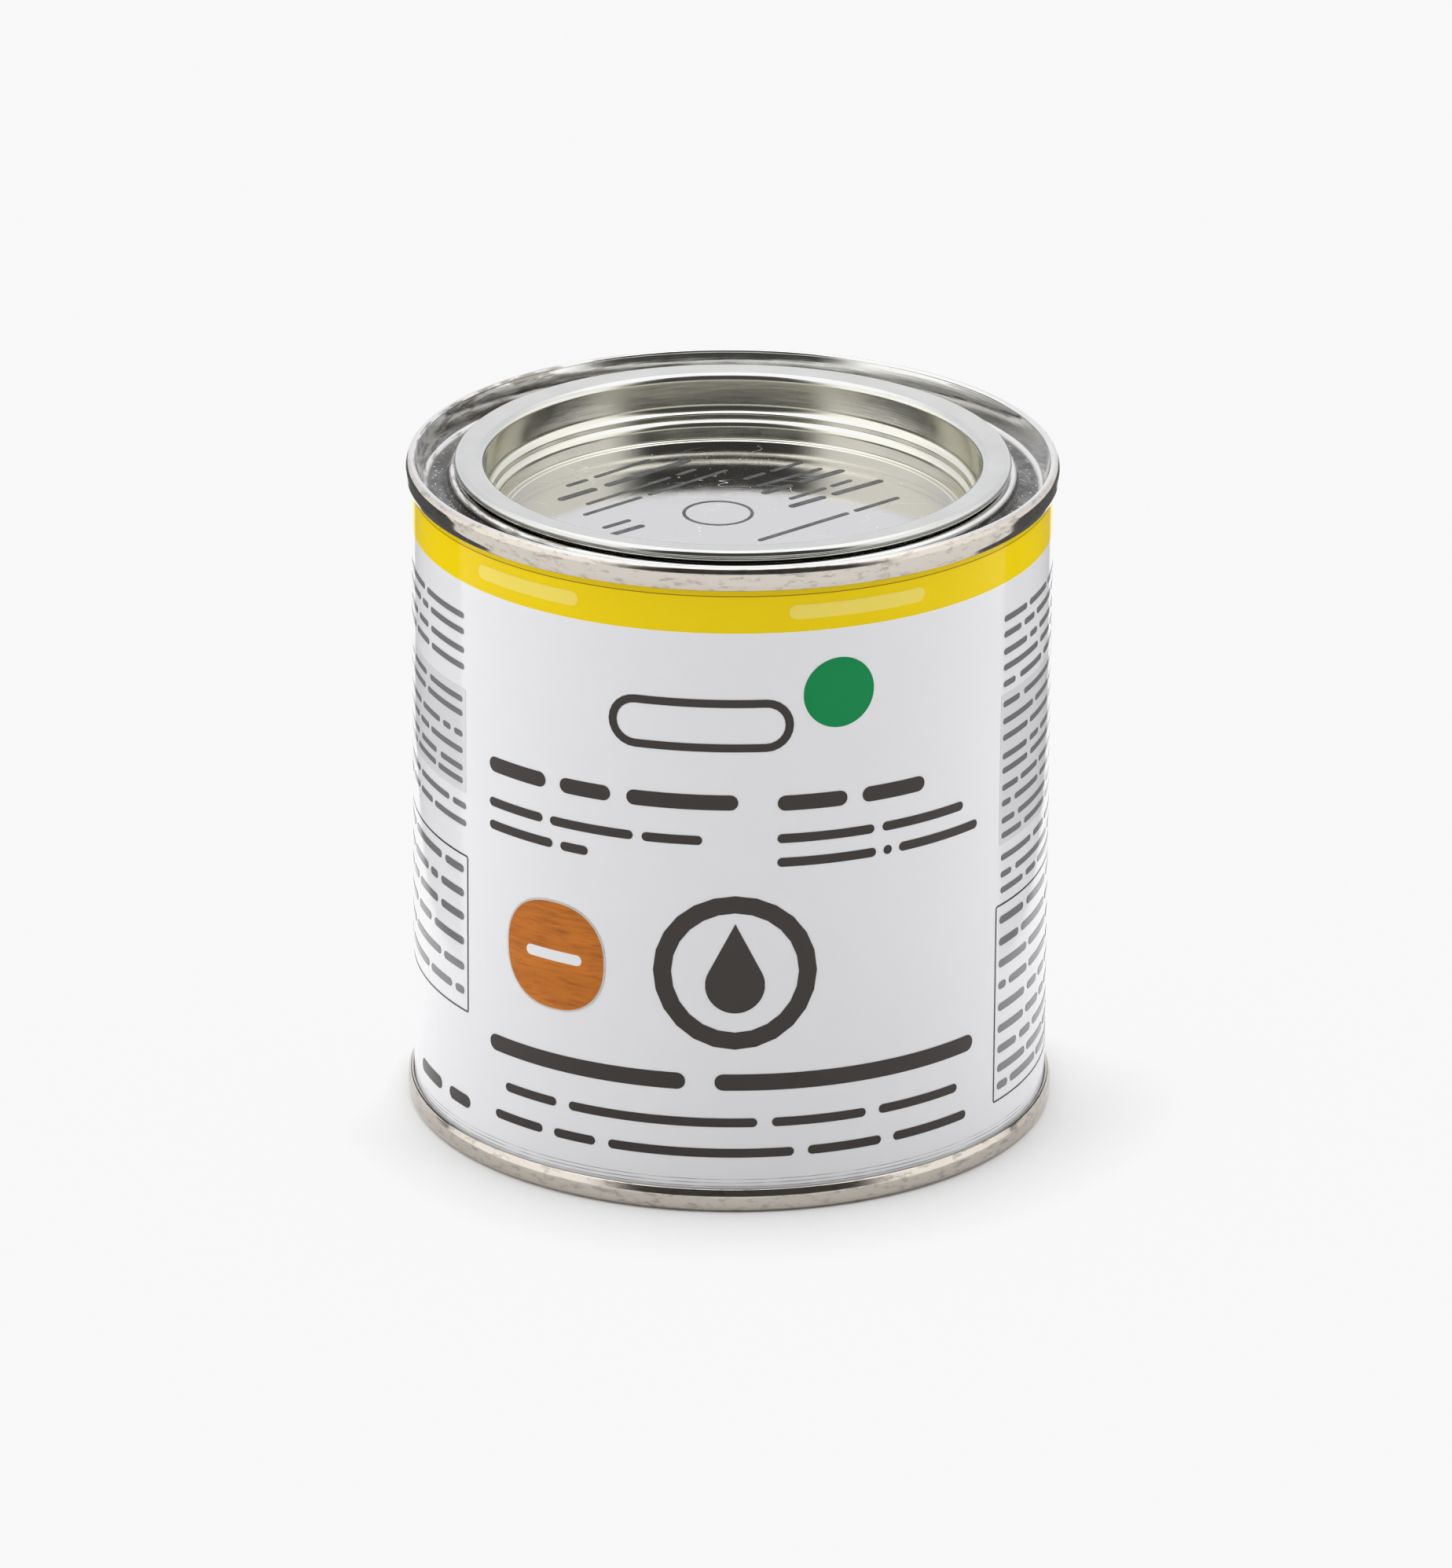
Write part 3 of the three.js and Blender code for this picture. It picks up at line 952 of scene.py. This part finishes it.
# Right side panel
side_text(grey, (75.5, 73.3, 70.9, 68.7, 66.4), 57, 124, 0.85, False, 5)
side_box(tint, 56.3, 124, 44.0, 65.0)
side_text(grey, (63.6, 61.2, 58.9, 56.3, 54.3, 51.9, 49.7, 47.3, 45.2), 57, 123, 0.85, False, 6)
side_text(grey, (42.1, 39.7, 37.5), 57, 124, 0.85, False, 7)
side_box(dark, 55.5, 124, 7.6, 35.6, 0.22)
side_text(grey, (33.3, 30.2, 27.1, 24.0, 20.9, 17.8, 14.9, 12.2, 9.7), 56.8, 122.5, 1.1, False, 8)

# Back, either side of the welded seam
side_text(dark, (73.5,), 131, 170, 1.6, False, 9)
side_text(grey, (69.5, 67.1, 64.7, 62.3, 59.9), 131, 171, 0.85, False, 10)
side_box(dark, 131, 171, 30, 52, 0.3)
side_text(grey, (48.6, 44.6, 40.6, 36.6, 33.0), 133, 170, 1.1, False, 11)
side_text(dark, (73.5,), -171, -131, 1.6, True, 12)
side_text(grey, (69.5, 67.1, 64.7, 62.3, 59.9, 57.5, 55.1), -171, -131, 0.85, True, 13)
dark.ring(14, 14, 7, 1.2, on_wall(-141, 40))
dark.ring(14, 14, 7, 1.2, on_wall(-162, 40))
side_text(grey, (26.0, 23.2, 20.4), -171, -131, 0.85, True, 14)

for ink in (dark, grey, tint, green, pale):
    ink.make()

# Lid print, in grey
LID_INK = mottled("lid ink", (0.045, 0.045, 0.048), (0.09, 0.09, 0.093), 0.5, 3000.0, 0.000003)
lid_ink = Print("lid_print", LID_INK, "lid", "lid_tinplate")


def panel_line(start, end, height, letters):
    """A line of word bars on the lid's panel, between two points."""
    length = math.dist(start, end)
    turn = math.atan2(end[1] - start[1], end[0] - start[0])
    for at, run in words(length, letters):
        share = (at + length / 2) / length
        x, y = (a + (b - a) * share for a, b in zip(start, end))
        lid_ink.shape(bar(run, height), on_panel(x, y, math.degrees(turn)))


for start, end, height, letters in (
    ((-22, 12), (-11, 22.5), 0.75, [3, 8]),
    ((-23, 6.6), (-5.7, 22.5), 1.15, [4, 9]),
    ((-19.3, 5), (-4.9, 18.9), 0.7, [13, 3]),
    ((-19.6, 0.9), (-0.7, 18.6), 0.7, [8, 11]),
    ((1.5, 15), (9.3, 21.9), 0.8, [4, 6]),
    ((3.2, 12.3), (11.9, 19.5), 0.8, [9, 3]),
    ((3.9, 9.6), (14.8, 18.9), 1.15, [4, 6]),
    ((7.5, 7.5), (15.8, 15), 0.8, [7, 4]),
    ((7.5, 4.5), (19.9, 15), 1.1, [5, 7]),
    ((3.4, -8.4), (22, 8.4), 0.8, [14, 7]),
    ((-17, -4), (-13.4, -0.8), 0.8, [4]),
    ((-16, -6.6), (-11.6, -2.8), 1.0, [3]),
):
    panel_line(start, end, height, letters)
lid_ink.ring(9.5, 9.5, 4.75, 0.45, on_panel(-1.9, 2, 0))
lid_ink.make()

# Sticker: pale film with wood grain printed on it
STICKER_SIZE = 15.4
STICKER_AZIMUTH = -33
STICKER_HEIGHT = 33.2
SQUARENESS = 2.3
FILM_TOP = 0.075
FACE_MARGIN = 0.5


def sticker_columns(size):
    """Columns of the sticker, a circle bulged towards a square."""
    columns = []
    for i in range(41):
        across = -0.998 * math.cos(math.pi * i / 40)
        up = size / 2 * (1 - abs(across) ** SQUARENESS) ** (1 / SQUARENESS)
        columns.append((across * size / 2, -up, up))
    return columns


def wood_grain():
    s = Shader("wood grain")
    grain = s.noise(s.stretched(260.0, 260.0, 2600.0), 1.0, 5.0, 0.7)
    bands = s.noise(s.stretched(40.0, 40.0, 420.0), 1.0, 2.0)
    light = s.mix(s.remap(bands, 0.3, 0.7), (0.50, 0.145, 0.010), (0.56, 0.17, 0.014))
    s.set(Base_Color=s.mix(s.remap(grain, 0.42, 0.75), light, (0.28, 0.068, 0.005)))
    s.set(Roughness=s.remap(grain, 0.3, 0.7, 0.2, 0.3), Specular_IOR_Level=0.2)
    s.set(Normal=s.bump(grain, 0.000002))
    return s.material


FILM = mottled("sticker film", (0.55, 0.53, 0.50), (0.50, 0.48, 0.45), 0.35, 2500.0, 0.000003)
ON_STICKER = on_wall(STICKER_AZIMUTH, STICKER_HEIGHT)
film = Print("sticker_film", FILM, slot="sticker_paper", top=FILM_TOP)
film.shape(sticker_columns(STICKER_SIZE), ON_STICKER)
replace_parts(film.make(), "tone_sticker")
face = Print("sticker_face", wood_grain(), slot="sticker_paper", base=0.076, top=0.1)
face.shape(sticker_columns(STICKER_SIZE - FACE_MARGIN), ON_STICKER)
face.make()
mark = Print("sticker_mark", WHITE, slot="sticker_paper", base=0.101, top=0.12)
mark.shape(bar(8.6, 1.5), ON_STICKER)
mark.make()

# ------------------------------------------------------------------ stage


def make_floor():
    mesh = bpy.data.meshes.new("floor")
    half = FLOOR_SIZE / 2
    corners = [(-half, -half, 0), (half, -half, 0), (half, half, 0), (-half, half, 0)]
    mesh.from_pydata(corners, [], [(0, 1, 2, 3)])
    floor = bpy.data.objects.new("floor", mesh)
    bpy.context.collection.objects.link(floor)
    s = Shader("floor")
    s.set(Base_Color=(0.90, 0.90, 0.90, 1), Roughness=1.0, Specular_IOR_Level=0.0)
    mesh.materials.append(s.material)
    floor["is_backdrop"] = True


def make_world():
    """A white studio: dark behind the camera, brighter overhead and on the left, and a little
    greyer behind the tin. Its directions are turns from the camera's side and rises, in degrees."""
    world = bpy.data.worlds.new("studio")
    bpy.context.scene.world = world
    world.use_nodes = True
    s = Shader(tree=world.node_tree)
    x, y, z = s.parts(s.node("ShaderNodeTexCoord").outputs["Generated"])
    turn = s.times(s.math("ARCTAN2", x, s.times(y, -1)), 180 / math.pi)
    rise = s.times(s.math("ARCSINE", z), 180 / math.pi)

    def window(value, middle, half, soft):
        return s.remap(s.away(value, middle), half - soft, half + soft, 1.0, 0.0)

    dark = s.times(window(turn, *DARK_TURN), window(rise, *DARK_RISE))
    left = s.times(window(turn, *LEFT_TURN), LEFT_EXTRA)
    overhead = s.remap(rise, *OVERHEAD_RISE, 0, OVERHEAD_EXTRA)
    sky = s.math("ADD", s.math("ADD", left, overhead), SKY)
    light = s.times(sky, s.remap(dark, 0, 1, 1, DARK_LEFT))
    low = s.remap(rise, *REAR_RISE, 1.0, 0.0)
    behind = s.times(s.remap(s.math("ABSOLUTE", turn), *REAR_TURN), low)
    background = world.node_tree.nodes["Background"]
    s.feed(background.inputs["Strength"], light)
    s.feed(background.inputs["Color"], s.mix(behind, (1, 1, 1), REAR_TINT))


def make_flag(name, side, near_y):
    """A black flag beside the tin and a little behind it, seen only in reflections."""
    near = (side * FLAG_NEAR, near_y)
    far = (side * FLAG_FAR[0], FLAG_FAR[1])
    mesh = bpy.data.meshes.new(name)
    corners = [(*near, 0), (*far, 0), (*far, FLAG_HEIGHT), (*near, FLAG_HEIGHT)]
    mesh.from_pydata(corners, [], [(0, 1, 2, 3)])
    flag = bpy.data.objects.new(name, mesh)
    bpy.context.collection.objects.link(flag)
    mesh.materials.append(plain("flag", (0.10, 0.105, 0.11), 1.0))
    flag.visible_camera = flag.visible_diffuse = flag.visible_shadow = False
    flag.visible_transmission = False
    flag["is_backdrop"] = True


FLOOR_SIZE = 8.0
SKY = 1.44
LEFT_TURN = (-95, 45, 30)  # middle, half width and softness, in degrees
LEFT_EXTRA = 0.1
OVERHEAD_RISE = (45, 65)
OVERHEAD_EXTRA = 0.8
DARK_TURN = (6, 48, 16)
DARK_RISE = (37, 35, 9)
DARK_LEFT = 0.05  # the share of light left in the dark part
REAR_TURN = (95, 145)
REAR_RISE = (32, 48)
REAR_TINT = (0.76, 0.765, 0.80)
FLAG_NEAR = 0.095
FLAG_FAR = (0.085, 0.13)
FLAG_HEIGHT = 0.087
make_flag("flag_right", 1, 0.005)
make_flag("flag_left", -1, 0.004)

make_floor()
make_world()
# The tone curve leaves tones up to the floor's as they are and presses brighter ones together
settings = bpy.context.scene.view_settings
settings.view_transform = "Standard"
settings.use_curve_mapping = True
curve = settings.curve_mapping.curves[3]
curve.points[1].location = (0.94, 0.94)
for place in ((1.4, 0.946), (2.0, 1.0)):
    curve.points.new(*place)
for point in curve.points:
    point.handle_type = "VECTOR"
settings.curve_mapping.clip_max_x = 2
settings.curve_mapping.update()

boxes = {"cad": CAD_BOX, "visual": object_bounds()}
{key: [list(corner) for corner in box] for key, box in boxes.items()}
